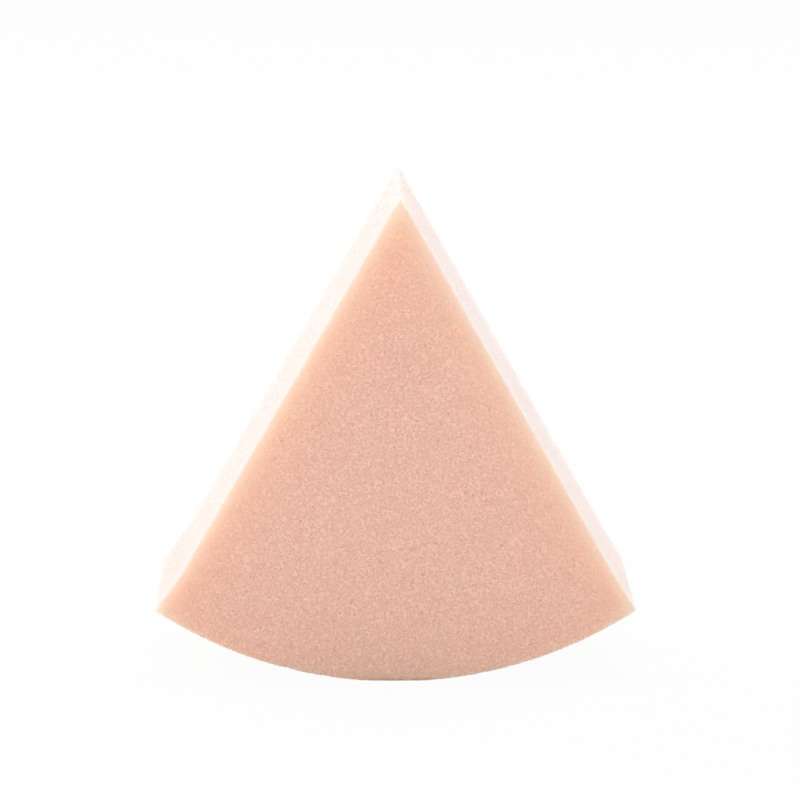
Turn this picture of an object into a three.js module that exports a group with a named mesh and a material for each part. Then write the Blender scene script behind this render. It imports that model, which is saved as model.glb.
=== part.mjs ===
// A foam make-up wedge: one slice of a round of soft open-cell sponge, cut in one piece.
// It stands on its curved rim with its tip up, the front face towards -Y and the back face towards +Y.
// The origin is the middle of the strip that it stands on, at half its thickness.
import * as THREE from "three";

// Driving dimensions, in millimetres and degrees.
const SIDE_LENGTH = 58; // tip to lower corner along a straight cut, with both taken as sharp
const TIP_ANGLE = 59; // between the two straight cuts: about a sixth of a round
const RIM_BULGE = 9; // how far the round rim bows out below the line between the lower corners
const THICKNESS = 22; // front face to back face
const EDGE_RADIUS = 0.5; // softness of the edges all round both faces
const FACE_CORNER_RADIUS = 0.2; // softness of the tip and corners of the flat faces, inside those edges
const FOOT_WIDTH = 8; // strip of the rim that the foam's own weight flattens on the table

// How finely the round stretches are faceted.
const EDGE_FACETS = 3; // across an edge
const TIP_FACETS = 3; // from a straight cut to the top of the tip
const CORNER_FACETS = 4; // from the rim to a straight cut
const RIM_FACETS = 20; // from the foot to a lower corner

const FOAM_COLOUR = 0xe9b9a4;
const FOAM_ROUGHNESS = 0.95;

// Points along an arc that runs anticlockwise between two angles, both ends included.
function arc(centre, radius, from, to, facets) {
  return new THREE.EllipseCurve(centre.x, centre.y, radius, radius, from, to).getPoints(facets);
}

// The front view's outline, anticlockwise from the right end of the foot, with X to the right and Y up.
function wedgeOutline() {
  const halfAngle = THREE.MathUtils.degToRad(TIP_ANGLE / 2);
  const halfWidth = SIDE_LENGTH * Math.sin(halfAngle);
  const rimRadius = (halfWidth ** 2 + RIM_BULGE ** 2) / (2 * RIM_BULGE);
  const rimCentre = new THREE.Vector2(0, Math.sqrt(rimRadius ** 2 - (FOOT_WIDTH / 2) ** 2));
  const sharpCornerY = rimCentre.y - rimRadius + RIM_BULGE;
  const sharpTipY = sharpCornerY + SIDE_LENGTH * Math.cos(halfAngle);

  // A round at the tip touches both straight cuts, and one at a lower corner touches a cut and the rim.
  // Both have their centres on one line inside the cut, at the round's radius from it.
  const roundRadius = EDGE_RADIUS + FACE_CORNER_RADIUS;
  const tip = new THREE.Vector2(0, sharpTipY - roundRadius / Math.sin(halfAngle));
  const rise = tip.y - rimCentre.y;
  const reach = Math.sqrt((rimRadius - roundRadius) ** 2 - (rise * Math.sin(halfAngle)) ** 2);
  const run = rise * Math.cos(halfAngle) + reach;
  const downTheCut = new THREE.Vector2(Math.sin(halfAngle), -Math.cos(halfAngle));
  const corner = downTheCut.multiplyScalar(run).add(tip);

  const footAngle = -Math.acos(FOOT_WIDTH / 2 / rimRadius);
  const cornerAngle = Math.atan2(corner.y - rimCentre.y, corner.x);
  const right = [
    ...arc(rimCentre, rimRadius, footAngle, cornerAngle, RIM_FACETS),
    ...arc(corner, roundRadius, cornerAngle, halfAngle, CORNER_FACETS).slice(1),
    ...arc(tip, roundRadius, halfAngle, Math.PI / 2, TIP_FACETS),
  ];
  const left = right.slice(0, -1).reverse().map(({ x, y }) => new THREE.Vector2(-x, y));
  return new THREE.Shape([...right, ...left]);
}

// The outline carried through the thickness, with a quarter round at both faces.
function wedgeGeometry() {
  const depth = THICKNESS - 2 * EDGE_RADIUS;
  const geometry = new THREE.ExtrudeGeometry(wedgeOutline(), {
    depth,
    bevelThickness: EDGE_RADIUS,
    bevelSize: EDGE_RADIUS,
    bevelOffset: -EDGE_RADIUS,
    bevelSegments: EDGE_FACETS,
  });
  // The outline's Y turns to Z, and half of the thickness lies on each side of Y = 0.
  return geometry.translate(0, 0, -depth / 2).rotateX(Math.PI / 2);
}

const foam = new THREE.MeshStandardMaterial({
  color: FOAM_COLOUR,
  roughness: FOAM_ROUGHNESS,
  metalness: 0,
});
const foamWedge = new THREE.Mesh(wedgeGeometry(), foam);
foamWedge.name = "foam_wedge";

const powderPuff = new THREE.Group();
powderPuff.add(foamWedge);

export default powderPuff;
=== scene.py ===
"""Dresses the powder puff: one wedge of cut latex foam, standing on a white studio table.

Lengths are in metres, in the part's own frame: +Z up from the rim to the tip, -Y out of the front face.
"""

import logging
import math
from dataclasses import dataclass
from enum import Enum
from typing import Any, ClassVar

import bpy
import numpy as np
from mathutils import Matrix, Vector
from numpy.typing import NDArray

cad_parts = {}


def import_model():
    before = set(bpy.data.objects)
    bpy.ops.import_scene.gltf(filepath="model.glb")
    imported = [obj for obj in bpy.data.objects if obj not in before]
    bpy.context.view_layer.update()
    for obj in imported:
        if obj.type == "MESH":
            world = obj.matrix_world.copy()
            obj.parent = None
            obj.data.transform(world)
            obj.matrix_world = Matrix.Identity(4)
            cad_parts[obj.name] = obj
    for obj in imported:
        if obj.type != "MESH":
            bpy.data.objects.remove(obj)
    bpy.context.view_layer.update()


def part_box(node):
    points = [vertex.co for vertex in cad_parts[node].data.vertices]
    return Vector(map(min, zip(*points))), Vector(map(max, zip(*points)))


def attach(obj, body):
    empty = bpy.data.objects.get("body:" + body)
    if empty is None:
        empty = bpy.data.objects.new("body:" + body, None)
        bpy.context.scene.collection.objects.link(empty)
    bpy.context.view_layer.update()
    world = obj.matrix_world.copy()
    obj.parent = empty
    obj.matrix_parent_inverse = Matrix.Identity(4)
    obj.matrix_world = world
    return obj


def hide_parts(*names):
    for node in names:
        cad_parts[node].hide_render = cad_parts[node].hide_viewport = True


Floats = NDArray[np.float64]
Integers = NDArray[np.int64]
Colour = tuple[float, float, float, float]
Place = tuple[float, float, float]
Pair = tuple[float, float]

MM = 0.001
LOG = logging.getLogger("powder_puff")

# The curve of sRGB: straight up to the knee, and a power above it.
SRGB_KNEE = 0.04045
SRGB_SLOPE = 12.92
SRGB_OFFSET = 0.055
SRGB_POWER = 2.4

# Sockets that go by number, because others on the same node share their names.
MIX_SHARE, MIX_FROM, MIX_TO, MIXED = 0, 6, 7, 2  # of a mix of two colours, the last its output
FIRST_VALUE, SECOND_VALUE = 0, 1  # of a product or a maximum
SHADER_FROM, SHADER_TO = 1, 2  # of a mix of two shaders


def linear(hex_colour: str) -> Colour:
    """Turns an sRGB colour into the linear one that shaders take.

    A value up to the knee is divided by the slope. A greater one has the offset added, is divided by 1 plus
    the offset, and is raised to the power.

    Args:
        hex_colour: a # and six hex digits.

    Returns:
        Linear red, green and blue, and an alpha of 1.
    """
    share = np.array(list(bytes.fromhex(hex_colour[1:]))) / 255
    above_knee = ((share + SRGB_OFFSET) / (1 + SRGB_OFFSET)) ** SRGB_POWER
    value = np.where(share <= SRGB_KNEE, share / SRGB_SLOPE, above_knee)
    return (*value.tolist(), 1.0)


def bare_tree(owner: bpy.types.Material | bpy.types.World) -> bpy.types.NodeTree:
    """Turns a material's or world's nodes on and clears them.

    Args:
        owner: the material or world.

    Returns:
        Its empty node tree.
    """
    owner.use_nodes = True
    owner.node_tree.nodes.clear()
    return owner.node_tree


def add_node(
    tree: bpy.types.NodeTree, kind: str, inputs: dict[str | int, Any] | None = None, **settings: Any
) -> bpy.types.Node:
    """Adds one node with its settings and links.

    Args:
        tree: the node tree that takes it.
        kind: Blender's name for this type of node.
        inputs: for each socket, by name or number, the value that it holds or the output that feeds it.
        settings: the node's own properties.

    Returns:
        The new node.
    """
    node = tree.nodes.new(kind)
    for name, value in settings.items():
        setattr(node, name, value)
    for name, value in (inputs or {}).items():
        if isinstance(value, bpy.types.NodeSocket):
            tree.links.new(value, node.inputs[name])
        else:
            node.inputs[name].default_value = value
    return node


def shown(tree: bpy.types.NodeTree) -> bpy.types.NodeSocket:
    """Tells the rays that show the background from those that light the object.

    Args:
        tree: the node tree that takes the nodes.

    Returns:
        An output that is 1 for camera, glossy and transmission rays.
    """
    path = add_node(tree, "ShaderNodeLightPath").outputs
    either = path["Is Camera Ray"]
    for other in ("Is Glossy Ray", "Is Transmission Ray"):
        either = add_node(
            tree, "ShaderNodeMath", {FIRST_VALUE: either, SECOND_VALUE: path[other]}, operation="MAXIMUM"
        ).outputs["Value"]
    return either


def add_object(data: bpy.types.Mesh | bpy.types.Light | bpy.types.Camera) -> bpy.types.Object:
    """Puts a mesh, lamp or camera into the scene as an object of the same name.

    Args:
        data: the mesh, lamp or camera.

    Returns:
        The object.
    """
    added = bpy.data.objects.new(data.name, data)
    bpy.context.scene.collection.objects.link(added)
    return added


class Mark(Enum):
    """What each point of the foam's surface carries for its finish to read, from 0 to 1."""

    PORE = "pore"  # the depth of a large opened cell, which sets the painted shade in it
    OPEN = "open"  # the share of the cells that is open
    PRESSING = "pressing"  # how far the foam is pressed together
    DEPTH = "depth_of_colour"  # how far its colour turns to the painted shade of the foot and rim


@dataclass(frozen=True)
class GasCells:
    """One size of gas cell in the foam: spheres about the places of a jittered cubic lattice."""

    pitch: float  # mean distance from one cell to the next
    least_radius: float
    greatest_radius: float
    deepest: float  # depth at which the floor of an opened cell levels out
    seed: int
    block: int = 64  # places along each side of the block that the lattice repeats

    def opened_depth(self, points: Floats, normals: Floats) -> Floats:
        """Works out how deep the cut opens cells at each point of a surface.

        A sphere of radius r lies with its centre at depth d under the point, and the line into the foam
        passes it at distance a. On that line it fills the stretch from d - h to d + h, where h is the root
        of r squared less a squared. If that stretch holds depth 0, the cut opens the sphere and the
        surface drops to d + h. The deepest sphere counts, and a hyperbolic tangent levels its floor.

        Args:
            points: one point of the uncut surface per row.
            normals: the outward direction at each point.

        Returns:
            The depth at each point.
        """
        rng = np.random.default_rng(self.seed)
        jitter = rng.random((self.block, self.block, self.block, 3))
        radius = rng.uniform(self.least_radius, self.greatest_radius, (self.block,) * 3)
        home = np.floor(points / self.pitch).astype(int)
        depth = np.zeros(len(points))
        # A cell reaches no further than the next place on each side.
        for neighbour in np.ndindex(3, 3, 3):
            place = home + np.array(neighbour) - 1
            cell = tuple((place % self.block).T)
            offset = (place + jitter[cell]) * self.pitch - points
            below = -np.einsum("ij,ij->i", offset, normals)
            aside_squared = np.einsum("ij,ij->i", offset, offset) - below**2
            half_chord = np.sqrt(np.maximum(radius[cell] ** 2 - aside_squared, 0))
            depth = np.maximum(depth, np.where(np.abs(below) < half_chord, below + half_chord, 0))
        return self.deepest * np.tanh(depth / self.deepest)


@dataclass(frozen=True)
class CutLatexFoam:
    """Peach latex foam, sliced by a blade.

    The cut opens thousands of cells, so the face is matt and finely pitted. Each small cell's pit is
    coloured darker as painted shade and its wall paler as a painted highlight, and the large ones show as
    pores, coloured dark as painted shade. The blade left the cells more open in some patches than in
    others, and uneven foaming left faint clouds. Light sinks a few millimetres into the foam, which softens
    shadows and makes the thin edges glow warm. Where the foam is pressed together, at its foot and along
    its rim, light goes less far in it, and its colour is darkened there as painted shade. Cell walls cut
    loose stand up like a nap, so a side seen along its surface looks almost white.
    """

    name: str = "peach_latex_foam_blade_cut"
    foam: str = "#e6bca6"
    # Painted shade in the pit of each small cell.
    pit_shade: str = "#c0764e"
    # Painted highlight on the walls of the cells, also the pale tone of the clouds.
    wall_highlight_and_pale_tone: str = "#f8d7c5"
    # Painted shade in a large opened cell.
    pore: str = "#a25c40"
    # Painted shade: a contact shadow along the foot and a darker bottom along the rim.
    foot_and_rim_shade: str = "#de8d60"
    cell_size: float = 0.25 * MM  # a usual pore of fine cosmetic foam
    cell_range: Pair = (0.08, 0.76)  # from a cell's middle, in cells: the end of its pit shade, its full wall highlight
    cell_shading_share: float = 0.63  # share of the colour that turns to a cell's painted pit shade or wall highlight
    cell_height: float = 0.05 * MM  # of the walls over the pits
    patch_size: float = 1.0 * MM  # of the patches in which the blade left the cells more open or less
    patch_range: Pair = (0.35, 0.65)  # the noise's level in the smoothest and in the most open patches
    patch_least: float = 0.4  # share of the cells' contrast in the smoothest patches
    pore_shade_share: float = 0.75  # how far a large open cell turns to the painted pore shade
    mottle_size: float = 7 * MM  # of the clouds
    mottle_range: Pair = (0.3, 0.7)  # the noise's level outside the clouds and in their middle
    mottle_share: float = 0.03  # how far the colour turns to that of the walls in a cloud's middle
    noise_detail: float = 1.0  # how many finer layers the noise of the patches and clouds has
    scatter_share: float = 1.0  # all light that enters the foam is scattered in it
    scatter_reach: float = 10 * MM  # how far light goes in open foam
    scatter_radius: Place = (1.1, 0.82, 0.68)  # shares of this reach for red, green and blue
    pressed_reach: float = 0.12  # share of this reach in foam pressed shut
    roughness: float = 0.9  # matt, as opened foam is
    specular: float = 0.5  # the level at which the index below alone sets the gloss
    refraction: float = 1.52  # of rubber latex
    nap: float = 1.0  # loose walls stand all over a cut
    nap_colour: str = "#ffffff"
    nap_roughness: float = 0.65

    def material(self) -> bpy.types.Material:
        """Builds the material.

        The distance from the nearest cell's middle turns the cells' colour from a painted shade in the pit
        to a painted highlight on the wall, and it is the height of the bump. The foam's clouded colour
        turns to this painted cell shading by the open share of cells times the patches, then to the painted
        shade of the pores in large cells, and to the painted shade of the foot and rim.

        Returns:
            The finished material.
        """
        material = bpy.data.materials.new(self.name)
        tree = bare_tree(material)
        place = add_node(tree, "ShaderNodeTexCoord").outputs["Object"]
        marks = {
            mark: add_node(tree, "ShaderNodeAttribute", attribute_name=mark.value).outputs["Fac"]
            for mark in Mark
        }
        cells = add_node(
            tree, "ShaderNodeTexVoronoi", {"Vector": place, "Scale": 1 / self.cell_size}
        ).outputs["Distance"]
        # Painted cell shading: painted shade in the pits, painted highlights on the walls.
        wall_highlight_share = add_node(
            tree,
            "ShaderNodeMapRange",
            {"Value": cells, "From Min": self.cell_range[0], "From Max": self.cell_range[1]},
        ).outputs["Result"]
        cell_shade_and_highlight = add_node(
            tree,
            "ShaderNodeMix",
            {MIX_SHARE: wall_highlight_share, MIX_FROM: linear(self.pit_shade), MIX_TO: linear(self.wall_highlight_and_pale_tone)},
            data_type="RGBA",
        ).outputs[MIXED]
        mottle = add_node(
            tree,
            "ShaderNodeTexNoise",
            {"Vector": place, "Scale": 1 / self.mottle_size, "Detail": self.noise_detail},
        ).outputs["Fac"]
        mottle_share = add_node(
            tree,
            "ShaderNodeMapRange",
            {
                "Value": mottle,
                "From Min": self.mottle_range[0],
                "From Max": self.mottle_range[1],
                "To Max": self.mottle_share,
            },
        ).outputs["Result"]
        mottled = add_node(
            tree,
            "ShaderNodeMix",
            {MIX_SHARE: mottle_share, MIX_FROM: linear(self.foam), MIX_TO: linear(self.wall_highlight_and_pale_tone)},
            data_type="RGBA",
        ).outputs[MIXED]
        patches = add_node(
            tree,
            "ShaderNodeTexNoise",
            {"Vector": place, "Scale": 1 / self.patch_size, "Detail": self.noise_detail},
        ).outputs["Fac"]
        patch_share = add_node(
            tree,
            "ShaderNodeMapRange",
            {
                "Value": patches,
                "From Min": self.patch_range[0],
                "From Max": self.patch_range[1],
                "To Min": self.cell_shading_share * self.patch_least,
                "To Max": self.cell_shading_share,
            },
        ).outputs["Result"]
        cell_shading_share = add_node(
            tree,
            "ShaderNodeMath",
            {FIRST_VALUE: marks[Mark.OPEN], SECOND_VALUE: patch_share},
            operation="MULTIPLY",
        ).outputs["Value"]
        skin_with_cell_shading = add_node(
            tree,
            "ShaderNodeMix",
            {MIX_SHARE: cell_shading_share, MIX_FROM: mottled, MIX_TO: cell_shade_and_highlight},
            data_type="RGBA",
        ).outputs[MIXED]
        pore_shade_share = add_node(
            tree, "ShaderNodeMapRange", {"Value": marks[Mark.PORE], "To Max": self.pore_shade_share}
        ).outputs["Result"]
        pore_shaded = add_node(
            tree,
            "ShaderNodeMix",
            {MIX_SHARE: pore_shade_share, MIX_FROM: skin_with_cell_shading, MIX_TO: linear(self.pore)},
            data_type="RGBA",
        ).outputs[MIXED]
        # Painted shade at the foot and along the rim.
        colour = add_node(
            tree,
            "ShaderNodeMix",
            {MIX_SHARE: marks[Mark.DEPTH], MIX_FROM: pore_shaded, MIX_TO: linear(self.foot_and_rim_shade)},
            data_type="RGBA",
        ).outputs[MIXED]
        reach = add_node(
            tree,
            "ShaderNodeMapRange",
            {
                "Value": marks[Mark.PRESSING],
                "To Min": self.scatter_reach,
                "To Max": self.scatter_reach * self.pressed_reach,
            },
        ).outputs["Result"]
        normal = add_node(
            tree, "ShaderNodeBump", {"Height": cells, "Distance": self.cell_height, "Strength": 1.0}
        ).outputs["Normal"]
        shader = add_node(
            tree,
            "ShaderNodeBsdfPrincipled",
            {
                "Base Color": colour,
                "Roughness": self.roughness,
                "IOR": self.refraction,
                "Specular IOR Level": self.specular,
                "Subsurface Weight": self.scatter_share,
                "Subsurface Radius": self.scatter_radius,
                "Subsurface Scale": reach,
                "Sheen Weight": self.nap,
                "Sheen Roughness": self.nap_roughness,
                "Sheen Tint": linear(self.nap_colour),
                "Normal": normal,
            },
        )
        add_node(tree, "ShaderNodeOutputMaterial", {"Surface": shader.outputs["BSDF"]})
        return material


@dataclass
class FoamWedge:
    """The puff itself: one slice of a round of foam, standing on its curved rim.

    Points of the front view are (x, z) pairs. Both flat faces are one triangular grid, and a band of rings
    joins their edges: a quarter round, the straight cut through the thickness, and a quarter round. The
    blade pressed cells shut along the sharp edges, the die that cut the round pressed its rim together, and
    the weight presses the foot. Along the foot and the rim the colour is darkened as painted shade.
    """

    BAKE_MAP: ClassVar[str] = "OFBake"  # the map on which the surface is laid out for baking
    CREASE: ClassVar[str] = "sharp_edge"  # Blender's mark on an edge over which shading stops

    thickness: float
    side_length: float = 58.28 * MM
    tip_angle: float = math.radians(59)
    rim_bulge: float = 8.75 * MM  # how far the rim bows out past the line between the lower corners
    foot_width: float = 8 * MM  # of the flat that it stands on
    rim_offset: float = -0.35 * MM  # the blade cut the rim a little to the left of the tip
    corner_flare: Pair = (0.5 * MM, 0.15 * MM)  # how far the left and right corner stand out along the rim
    flare_reach: float = 2.5 * MM  # how far from the corner this falls off
    foot_reach: float = 2.0 * MM  # height over which the weight's pressing of the foot falls off
    foot_shut: int = 6  # the power of the pressing that gives the share of cells shut at the foot
    foot_line: float = 0.78  # the share of pressing at which the painted contact shade at the foot starts
    rim_press: float = 0.95  # how far the die pressed the rim together
    rim_reach: float = 6 * MM  # how far in from the rim this falls off
    rim_shade: float = 0.1  # how far the colour turns to the painted shade at the rim
    edge_radius: float = 0.25 * MM  # of the quarter rounds
    rows: int = 400  # steps of the grid along each side and along the rim
    edge_steps: int = 4  # along each quarter round
    depth_steps: int = 144  # along the straight cut between them
    corner_steps: int = 5  # steps on each side of a corner in which the edge turns round it
    corner_sharpness: float = 0.6  # 0 rounds the tip and corners by the edge radius, 1 leaves them sharp
    map_gap: float = 1.5 * MM  # between the patches of the bake map
    deep_pore: float = 0.3 * MM  # the depth that counts as 1 in the pore mark
    press_share: float = 0.98  # of the cells at a sharp edge, how many the blade presses shut
    press_reach: float = 2.6 * MM  # how far from the edge this falls off
    fine_cells: GasCells = GasCells(
        pitch=0.45 * MM, least_radius=0.16 * MM, greatest_radius=0.28 * MM, deepest=0.06 * MM, seed=11
    )
    coarse_cells: GasCells = GasCells(
        pitch=1.1 * MM, least_radius=0.08 * MM, greatest_radius=0.19 * MM, deepest=0.22 * MM, seed=23
    )

    def __post_init__(self) -> None:
        """Works out the outline of a flat face, which lies one edge radius inside the wedge's outline.

        The rim's radius is the sum of the squares of half its chord and of its bulge, over twice the bulge.
        Its centre is as high as leaves a flat of foot_width at the table. Each side runs from the tip to
        where it meets the rim's circle, which is the greater root of a quadratic.
        """
        self.half_angle = self.tip_angle / 2
        half_width = self.side_length * math.sin(self.half_angle)
        self.rim_radius = (half_width**2 + self.rim_bulge**2) / (2 * self.rim_bulge)
        rim_height = math.sqrt(self.rim_radius**2 - (self.foot_width / 2) ** 2)
        corner_height = rim_height - self.rim_radius + self.rim_bulge
        self.tip_height = corner_height + self.side_length * math.cos(self.half_angle)
        self.face_tip = np.array((0, self.tip_height - self.edge_radius / math.sin(self.half_angle)))
        self.face_rim_centre = np.array((self.rim_offset, rim_height))
        self.face_rim_radius = self.rim_radius - self.edge_radius

        # The left side comes first.
        down = np.array((-math.sin(self.half_angle), -math.cos(self.half_angle))) * ((1, 1), (-1, 1))
        to_tip = self.face_tip - self.face_rim_centre
        lean = down @ to_tip
        self.face_sides = np.sqrt(lean**2 - to_tip @ to_tip + self.face_rim_radius**2) - lean
        corner = self.face_tip + self.face_sides[:, None] * down
        self.face_half_width = np.abs(corner[:, 0]).max()
        from_centre = corner - self.face_rim_centre
        self.corner_angles = np.arctan2(from_centre[:, 0], -from_centre[:, 1])

    def rim_angles(self, share: Floats) -> Floats:
        """Gives the angle from straight down at a share of the way along the rim, from left to right."""
        return self.corner_angles[0] + share * (self.corner_angles[1] - self.corner_angles[0])

    def grid(self) -> tuple[Integers, Integers]:
        """Numbers the points of a face's triangular grid, in which row i holds i + 1 points.

        Returns:
            The row of each point, and its place in that row.
        """
        row = np.repeat(np.arange(self.rows + 1), np.arange(1, self.rows + 2))
        return row, np.arange(len(row)) - row * (row + 1) // 2

    def face_points(self) -> Floats:
        """Lays the grid on a face.

        A point in place j of row i lies the share i / rows of the way down the line from the tip to the
        rim. That line ends the share j / i of the way along the rim's arc. Near a lower corner the blade's
        drag draws the points out along the rim, by a bell curve of their distance from the corner.

        Returns:
            One (x, z) pair per point.
        """
        row, place = self.grid()
        angle = self.rim_angles(place / np.maximum(row, 1))
        rim = self.face_rim_centre + self.face_rim_radius * np.stack((np.sin(angle), -np.cos(angle)), 1)
        points = self.face_tip + (row / self.rows)[:, None] * (rim - self.face_tip)
        flared = points.copy()
        for corner, turn, flare in zip((-self.rows - 1, -1), self.corner_angles, self.corner_flare):
            away = np.linalg.norm(points - points[corner], axis=1) / self.flare_reach
            along = np.array((math.cos(turn), math.sin(turn))) * math.copysign(flare, turn)
            flared += np.exp(-(away**2) / 2)[:, None] * along
        return flared

    def face_triangles(self) -> Integers:
        """Joins each point of the grid to the row below it.

        Returns:
            Three grid points per triangle, anticlockwise in the front view.
        """
        row, place = self.grid()
        here = np.arange(len(row))
        below = here + row + 1
        above_rim = row < self.rows
        tips_up = np.stack((here, below, below + 1), 1)[above_rim]
        tips_down = np.stack((here, below + 1, here + 1), 1)[above_rim & (place < row)]
        return np.concatenate((tips_up, tips_down))

    def edge_points(self) -> Integers:
        """Finds the grid's edge: from the tip down the left side, along the rim and up the right side.

        Returns:
            The grid point at each of the 3 * rows steps round the face.
        """
        step = np.arange(self.rows)
        lower_row = self.rows - step
        left = step * (step + 1) // 2
        rim = self.rows * (self.rows + 1) // 2 + step
        right = lower_row * (lower_row + 1) // 2 + lower_row
        return np.concatenate((left, rim, right))

    def edge_directions(self) -> tuple[Floats, Floats]:
        """Works out which way the wedge's outer surface faces at each step round the face.

        Each stretch between two steps has the angle of its side, or of the rim there. A point takes the
        mean over corner_steps stretches on each side of it, which turns it evenly round the tip and
        corners. Where it is turned away from its side, a longer reach brings it back to the side's line,
        by 1 over the cosine of the turn.

        Returns:
            One unit (x, z) pair per step, and by how much its reach grows there.
        """
        full_turn, straight_down = 2 * math.pi, 1.5 * math.pi
        share = (np.arange(self.rows) + 0.5) / self.rows
        left = np.full(self.rows, math.pi - self.half_angle)
        rim = straight_down + self.rim_angles(share)
        right = np.full(self.rows, full_turn + self.half_angle)
        before = right[-self.corner_steps :] - full_turn
        after = left[: self.corner_steps - 1] + full_turn
        window = np.full(2 * self.corner_steps, 0.5 / self.corner_steps)
        side = np.concatenate((left, rim, right))
        angle = np.convolve(np.concatenate((before, side, after)), window, mode="valid")
        growth = 1 + self.corner_sharpness * (1 / np.cos(angle - side) - 1)
        return np.stack((np.cos(angle), np.sin(angle)), 1), growth

    def ring_profile(self) -> tuple[Floats, Floats, Floats]:
        """Sets out the rings of the band, from the front face's edge to the back face's.

        The profile is a quarter round of edge_radius, a straight stretch along Y and a quarter round.

        Returns:
            For each ring, how far it stands outside the face's edge, its Y, and its tilt towards +Y.
        """
        quarter = np.linspace(-math.pi / 2, 0, self.edge_steps + 1)
        half = self.thickness / 2 - self.edge_radius
        straight = np.linspace(-half, half, self.depth_steps + 1)
        tilt = np.concatenate((quarter, np.zeros(self.depth_steps - 1), -quarter[::-1]))
        centre = np.concatenate((np.full(self.edge_steps, -half), straight, np.full(self.edge_steps, half)))
        return self.edge_radius * np.cos(tilt), centre + self.edge_radius * np.sin(tilt), tilt

    def ring_numbers(self) -> Integers:
        """Numbers the band's points. Its first and last ring are the edges of the two faces.

        Returns:
            The mesh's vertex at each ring and each step round the face.
        """
        edge = self.edge_points()
        face = len(self.grid()[0])
        between = self.depth_steps + 2 * self.edge_steps - 1
        inner = 2 * face + np.arange(between * len(edge)).reshape(between, len(edge))
        return np.concatenate((edge[None], inner, face + edge[None]))

    def crease_points(self) -> Integers:
        """Finds the three lines through the thickness where the outline turns sharply: tip and corners."""
        return self.ring_numbers()[:, :: self.rows]

    def surface(self) -> tuple[Floats, Floats]:
        """Works out the smooth wedge: the front face, the back face, then the rings between them.

        A point of the band stands outside the face's edge by its ring's reach, in the edge's direction.
        What would lie below the table is pressed up to it, which gives the flat foot.

        Returns:
            The points, and the outward direction at each of them.
        """
        face = self.face_points()
        direction, growth = self.edge_directions()
        reach, depth, tilt = (ring[1:-1, None] for ring in self.ring_profile())
        outline = face[self.edge_points()] + (reach * growth)[..., None] * direction
        band = np.stack(np.broadcast_arrays(outline[..., 0], depth, outline[..., 1]), -1)
        level = np.cos(tilt)
        facing = np.stack(
            np.broadcast_arrays(level * direction[:, 0], np.sin(tilt), level * direction[:, 1]), -1
        )
        half = np.full(len(face), self.thickness / 2)
        flat = np.tile((0.0, 1.0, 0.0), (len(face), 1))
        points = np.concatenate(
            (
                np.stack((face[:, 0], -half, face[:, 1]), 1),
                np.stack((face[:, 0], half, face[:, 1]), 1),
                band.reshape(-1, 3),
            )
        )
        points[:, 2] = np.maximum(points[:, 2], 0)
        return points, np.concatenate((-flat, flat, facing.reshape(-1, 3)))

    def open_share(self, points: Floats) -> Floats:
        """Works out how many of the cells the blade leaves open.

        The blade presses cells shut along the edges between the straight cuts and the faces. The share that
        is shut falls off exponentially with the distance from the edge. On a face that is the distance from
        the nearer cut, and on a cut that from the nearer face, so the greater of the two is taken.

        Args:
            points: one point of the surface per row.

        Returns:
            The open share at each point.
        """
        below_tip = self.tip_height - points[:, 2]
        beside_axis = np.abs(points[:, 0])
        from_cut = below_tip * math.sin(self.half_angle) - beside_axis * math.cos(self.half_angle)
        from_face = self.thickness / 2 - np.abs(points[:, 1])
        from_edge = np.maximum(np.maximum(from_cut, from_face), 0)
        return 1 - self.press_share * np.exp(-from_edge / self.press_reach)

    def rim_share(self, points: Floats) -> Floats:
        """Works out how near each point is to the rim.

        The share is 1 on the rim, and falls off exponentially with the distance inwards from its circle.

        Args:
            points: one point of the surface per row.

        Returns:
            The share at each point.
        """
        from_centre = np.linalg.norm(points[:, ::2] - self.face_rim_centre, axis=1)
        inwards = np.maximum(self.rim_radius - from_centre, 0)
        return np.exp(-inwards / self.rim_reach)

    def worked(self, points: Floats, normals: Floats) -> tuple[Floats, dict[Mark, Floats]]:
        """Works out what the blade, the die and the weight did to the surface.

        The weight's pressing falls off exponentially with the height, and a power of it shuts cells at the
        foot. The die's pressing is the rim share times the open share. The painted shade at the foot and
        rim grows in a straight line once the weight's pressing is past the foot line, and in proportion to
        the die's.
        Of weight and die, the greater counts each time.

        Args:
            points: one point of the smooth surface per row.
            normals: the outward direction at each point.

        Returns:
            How deep the cells are open at each point, and its marks.
        """
        left_open = self.open_share(points)
        at_foot = np.exp(-points[:, 2] / self.foot_reach)
        at_rim = self.rim_share(points) * left_open
        # Painted contact shade at the foot.
        foot_shade = np.maximum(at_foot - self.foot_line, 0) / (1 - self.foot_line)
        open_share = left_open * (1 - at_foot**self.foot_shut)
        pores = open_share * self.coarse_cells.opened_depth(points, normals)
        depth = np.maximum(open_share * self.fine_cells.opened_depth(points, normals), pores)
        return depth, {
            Mark.PORE: np.minimum(pores / self.deep_pore, 1),
            Mark.OPEN: open_share,
            Mark.PRESSING: np.maximum(at_foot, self.rim_press * at_rim),
            Mark.DEPTH: np.maximum(foot_shade, self.rim_shade * at_rim),
        }

    def triangles(self) -> Integers:
        """Joins up the faces and the band.

        Returns:
            Three vertices per triangle, anticlockwise seen from outside.
        """
        front = self.face_triangles()
        back = front[:, ::-1] + len(self.grid()[0])
        ring = self.ring_numbers()
        here, behind = ring[:-1], ring[1:]
        beside, across = np.roll(here, -1, 1), np.roll(behind, -1, 1)
        lower = np.stack((here, behind, across), -1).reshape(-1, 3)
        upper = np.stack((here, across, beside), -1).reshape(-1, 3)
        return np.concatenate((front, back, lower, upper))

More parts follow.
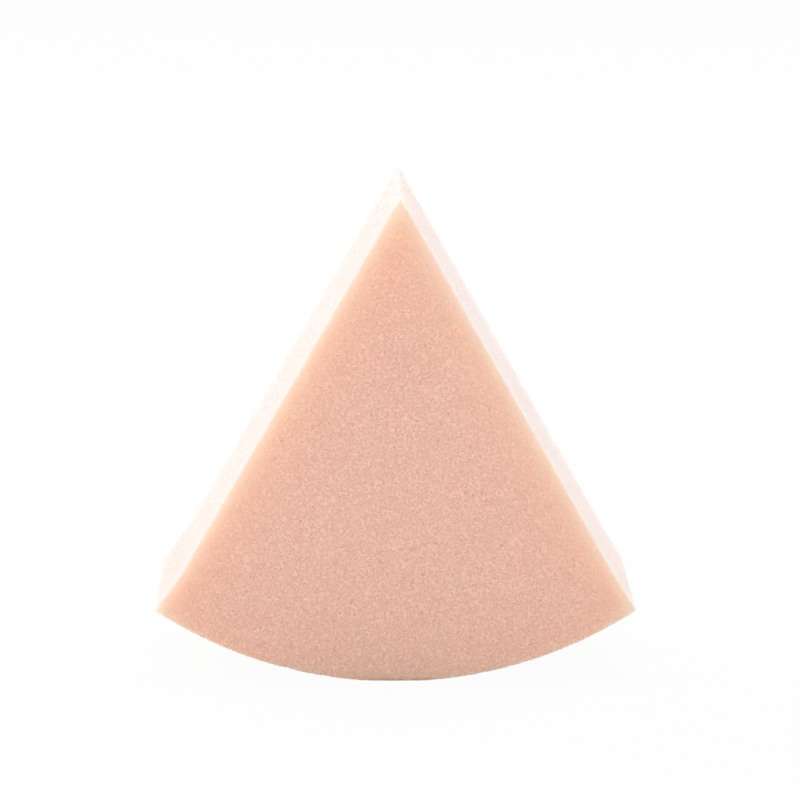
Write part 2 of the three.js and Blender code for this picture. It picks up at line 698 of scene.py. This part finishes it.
    def bake_places(self) -> Floats:
        """Lays the surface out flat for baking.

        The two faces lie side by side. Over them lie the left and the right cut, and over those the rim,
        each with the step round the face across and the length along the ring profile upwards.

        Returns:
            One (u, v) pair per corner of each triangle.
        """
        face = self.face_points()
        width = 2 * self.face_half_width
        reach, depth, _ = self.ring_profile()
        along = np.concatenate(((0.0,), np.cumsum(np.hypot(np.diff(reach), np.diff(depth)))))
        gap = self.map_gap
        cut_base = self.face_tip[1] + 2 * gap
        rim_base = cut_base + along[-1] + gap
        sheet = 2 * width + 3 * gap
        front = face + (self.face_half_width + gap, 0)
        back = front + (width + gap, 0)
        order = self.face_triangles()

        step = np.arange(3 * self.rows)
        strip = step // self.rows
        origin = np.array(((gap, cut_base), (gap, rim_base), (gap + width + gap, cut_base)))[strip]
        rim_length = (self.corner_angles[1] - self.corner_angles[0]) * self.face_rim_radius
        pace = np.array((self.face_sides[0], rim_length, self.face_sides[1]))[strip] / self.rows

        def corner(column: int, ring: int) -> Floats:
            """Gives each stretch of the band one of its four corners.

            Args:
                column: 0 for the corner at the stretch's own step, 1 for that at the next.
                ring: 0 for its own ring, 1 for the next.

            Returns:
                One (u, v) pair per ring and step, before scaling.
            """
            across = origin[:, 0] + (step % self.rows + column) * pace
            up = origin[:, 1] + along[ring : len(along) - 1 + ring, None]
            return np.stack(np.broadcast_arrays(across, up), -1)

        here, behind, across, beside = corner(0, 0), corner(0, 1), corner(1, 1), corner(1, 0)
        lower = np.stack((here, behind, across), -2).reshape(-1, 3, 2)
        upper = np.stack((here, across, beside), -2).reshape(-1, 3, 2)
        return np.concatenate((front[order], back[order[:, ::-1]], lower, upper)) / sheet

    def build(self, finish: CutLatexFoam) -> bpy.types.Object:
        """Makes the wedge with its opened cells.

        Every point sinks along its outward direction by the depth of the cells that are open there, and
        carries its marks. The lines of the tip and the lower corners are creased, so that shading doesn't
        run round them.

        Args:
            finish: the foam's finish.

        Returns:
            The wedge.
        """
        points, normals = self.surface()
        depth, marks = self.worked(points, normals)
        corners = self.triangles()
        mesh = bpy.data.meshes.new("cut_foam_wedge")
        mesh.vertices.add(len(points))
        mesh.vertices.foreach_set("co", (points - depth[:, None] * normals).ravel())
        mesh.loops.add(corners.size)
        mesh.loops.foreach_set("vertex_index", corners.ravel())
        mesh.polygons.add(len(corners))
        mesh.polygons.foreach_set("loop_start", np.arange(0, corners.size, 3))
        for mark, value in marks.items():
            mesh.attributes.new(mark.value, "FLOAT", "POINT").data.foreach_set("value", value)
        mesh.uv_layers.new(name=self.BAKE_MAP).uv.foreach_set("vector", self.bake_places().ravel())
        mesh.update(calc_edges=True)
        mesh.validate()
        mesh.shade_smooth()
        ends = np.empty(2 * len(mesh.edges), dtype=np.int32)
        mesh.edges.foreach_get("vertices", ends)
        creased = np.isin(ends.reshape(-1, 2), self.crease_points()).all(1)
        mesh.attributes.new(self.CREASE, "BOOLEAN", "EDGE").data.foreach_set("value", creased)
        mesh.materials.append(finish.material())
        return add_object(mesh)


class SoftBox(Enum):
    """The studio's lamps: where each stands, how wide it is, its power in watts and its colour.

    The back and top lamps graze the straight cuts, which makes their nap almost white. The side lamps make
    the edges of the face glow, and the front lamp lights the face.
    """

    BACK_LEFT = ((-0.40, 0.40, 0.36), 0.40, 1.67, "#ffffff")
    BACK_RIGHT = ((0.40, 0.40, 0.36), 0.40, 1.25, "#ffffff")
    SIDE_LEFT = ((-0.55, 0.10, 0.15), 0.30, 1.24, "#fff5f4")
    SIDE_RIGHT = ((0.55, 0.10, 0.15), 0.30, 0.73, "#fff8f5")
    TOP = ((0.0, 0.10, 0.80), 0.40, 2.32, "#f5f7ff")
    FRONT = ((0.0, -0.75, 0.15), 0.50, 4.04, "#ffffff")

    def __init__(self, place: Place, width: float, watts: float, colour: str) -> None:
        """Keeps the lamp's values under their names.

        Args:
            place: where it stands.
            width: the side of its square front.
            watts: its power.
            colour: the colour of its light.
        """
        self.place = place
        self.width = width
        self.watts = watts
        self.colour = colour

    def light(self, target: Vector) -> bpy.types.Object:
        """Sets the lamp up.

        Args:
            target: the point that it faces.

        Returns:
            The lamp.
        """
        lamp = bpy.data.lights.new(f"soft_box_{self.name.lower()}", "AREA")
        lamp.size = self.width
        lamp.energy = self.watts
        lamp.color = linear(self.colour)[:3]
        stand = add_object(lamp)
        stand.location = self.place
        stand.rotation_euler = (target - stand.location).to_track_quat("-Z", "Y").to_euler()
        return stand


@dataclass(frozen=True)
class MattWhitePaper:
    """White paper, uncoated and matt.

    It throws light back evenly in all directions, a little warm. The camera sees it as almost plain white,
    with the object's shadow on it.
    """

    name: str = "matt_white_paper"
    paper: str = "#f0ebe7"
    white: str = "#ffffff"
    shown_white: float = 0.95  # share of plain white in the paper as the camera sees it

    def material(self) -> bpy.types.Material:
        """Builds the material: matt paper, mixed with plain white for the rays that show it.

        Returns:
            The finished material.
        """
        material = bpy.data.materials.new(self.name)
        tree = bare_tree(material)
        paper = add_node(tree, "ShaderNodeBsdfDiffuse", {"Color": linear(self.paper)}).outputs["BSDF"]
        glow = add_node(
            tree, "ShaderNodeEmission", {"Color": linear(self.white), "Strength": 1.0}
        ).outputs["Emission"]
        share = add_node(
            tree,
            "ShaderNodeMath",
            {FIRST_VALUE: shown(tree), SECOND_VALUE: self.shown_white},
            operation="MULTIPLY",
        ).outputs["Value"]
        mixed = add_node(
            tree, "ShaderNodeMixShader", {"Fac": share, SHADER_FROM: paper, SHADER_TO: glow}
        )
        add_node(tree, "ShaderNodeOutputMaterial", {"Surface": mixed.outputs["Shader"]})
        return material


@dataclass
class Studio:
    """A paper table in a white room."""

    table_width: float = 6.0
    table_drop: float = 0.05 * MM  # the foam's loose cell walls hold it this far off the paper
    room_colour: str = "#ffffff"
    room_light: float = 0.2  # strength of the light that the room casts, where 1 is white

    def room(self) -> None:
        """Makes the world: white to look at, and an even soft light."""
        world = bpy.data.worlds.new("white_room")
        bpy.context.scene.world = world
        tree = bare_tree(world)
        strength = add_node(
            tree, "ShaderNodeMapRange", {"Value": shown(tree), "To Min": self.room_light, "To Max": 1.0}
        ).outputs["Result"]
        background = add_node(
            tree, "ShaderNodeBackground", {"Color": linear(self.room_colour), "Strength": strength}
        )
        add_node(tree, "ShaderNodeOutputWorld", {"Surface": background.outputs["Background"]})

    def table_top(self, finish: MattWhitePaper) -> bpy.types.Object:
        """Makes the table: one square of paper just under the object.

        Args:
            finish: the paper's finish.

        Returns:
            The table.
        """
        half = self.table_width / 2
        corners = np.array(((-half, -half, 0), (half, -half, 0), (half, half, 0), (-half, half, 0)))
        mesh = bpy.data.meshes.new("table_top")
        mesh.from_pydata(corners - (0, 0, self.table_drop), [], [(0, 1, 2, 3)])
        mesh.materials.append(finish.material())
        return add_object(mesh)


@dataclass(frozen=True)
class PhotoCamera:
    """The camera, at the place that the wedge's edges in the photograph give."""

    aim: Place = (0.28 * MM, 0, 32.20 * MM)
    distance: float = 413.5 * MM
    looks_down: float = math.radians(13.96)
    from_left: float = math.radians(1.05)
    roll: float = math.radians(0.37)
    lens: float = 153.0  # in millimetres, on a frame 36 mm wide

    def place(self) -> bpy.types.Object:
        """Sets the camera up as the scene's own.

        It stands back from the aim by the distance, against its direction of view, and is rolled about that
        direction.

        Returns:
            The camera.
        """
        forward = Vector(
            (
                math.sin(self.from_left) * math.cos(self.looks_down),
                math.cos(self.from_left) * math.cos(self.looks_down),
                -math.sin(self.looks_down),
            )
        )
        camera = bpy.data.cameras.new("photo_camera")
        camera.lens = self.lens
        stand = add_object(camera)
        stand.matrix_world = (
            Matrix.Translation(Vector(self.aim) - self.distance * forward)
            @ forward.to_track_quat("-Z", "Y").to_matrix().to_4x4()
            @ Matrix.Rotation(self.roll, 4, "Z")
        )
        bpy.context.scene.camera = stand
        return stand


def main() -> None:
    """Builds the wedge and its studio in order."""
    logging.basicConfig(level=logging.INFO, format="%(name)s: %(message)s")
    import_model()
    low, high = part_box("foam_wedge")
    bpy.context.scene.view_settings.view_transform = "Standard"

    wedge = FoamWedge(thickness=high.y - low.y).build(CutLatexFoam())
    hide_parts("foam_wedge")
    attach(wedge, "root")
    LOG.info("%s: %d points, %d triangles", wedge.name, len(wedge.data.vertices), len(wedge.data.polygons))

    studio = Studio()
    studio.room()
    table = studio.table_top(MattWhitePaper())
    LOG.info("%s: %.1f m wide", table.name, studio.table_width)
    for lamp in SoftBox:
        LOG.info("%s: %.1f W", lamp.light((low + high) / 2).name, lamp.watts)
    camera = PhotoCamera()
    LOG.info("%s: %.0f mm lens", camera.place().name, camera.lens)


if __name__ == "__main__":
    main()
